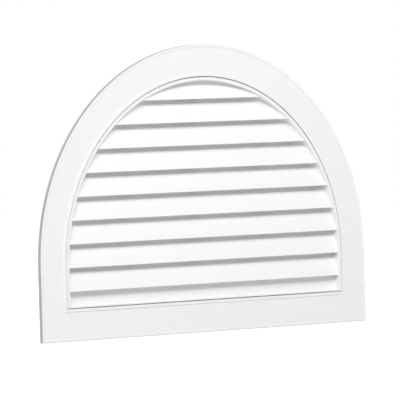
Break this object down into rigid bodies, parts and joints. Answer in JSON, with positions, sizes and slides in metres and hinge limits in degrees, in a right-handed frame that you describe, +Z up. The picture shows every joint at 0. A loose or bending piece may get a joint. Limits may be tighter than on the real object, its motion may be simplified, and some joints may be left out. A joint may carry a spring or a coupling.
{
  "type": "half-round gable vent",
  "caption": "Half-round white gable vent: a louvred panel with a nailing flange and insect screen behind, inside a wide flat clip-on trim ring.",
  "frame": {"origin": "centre of the half circle on the centre line, in the wall plane at the back of the nailing flange", "axes": "+X to the right as seen from the front, +Z up, and the front faces -Y"},
  "size_m": [0.8636, 0.0313, 0.5842],
  "materials": {
    "white_plastic": "satin",
    "screen_cloth": "matte"
  },
  "bodies": {
    "root": {"trim_ring": "white_plastic", "louvre_body": "white_plastic", "insect_screen": "screen_cloth"}
  },
  "joints": []
}
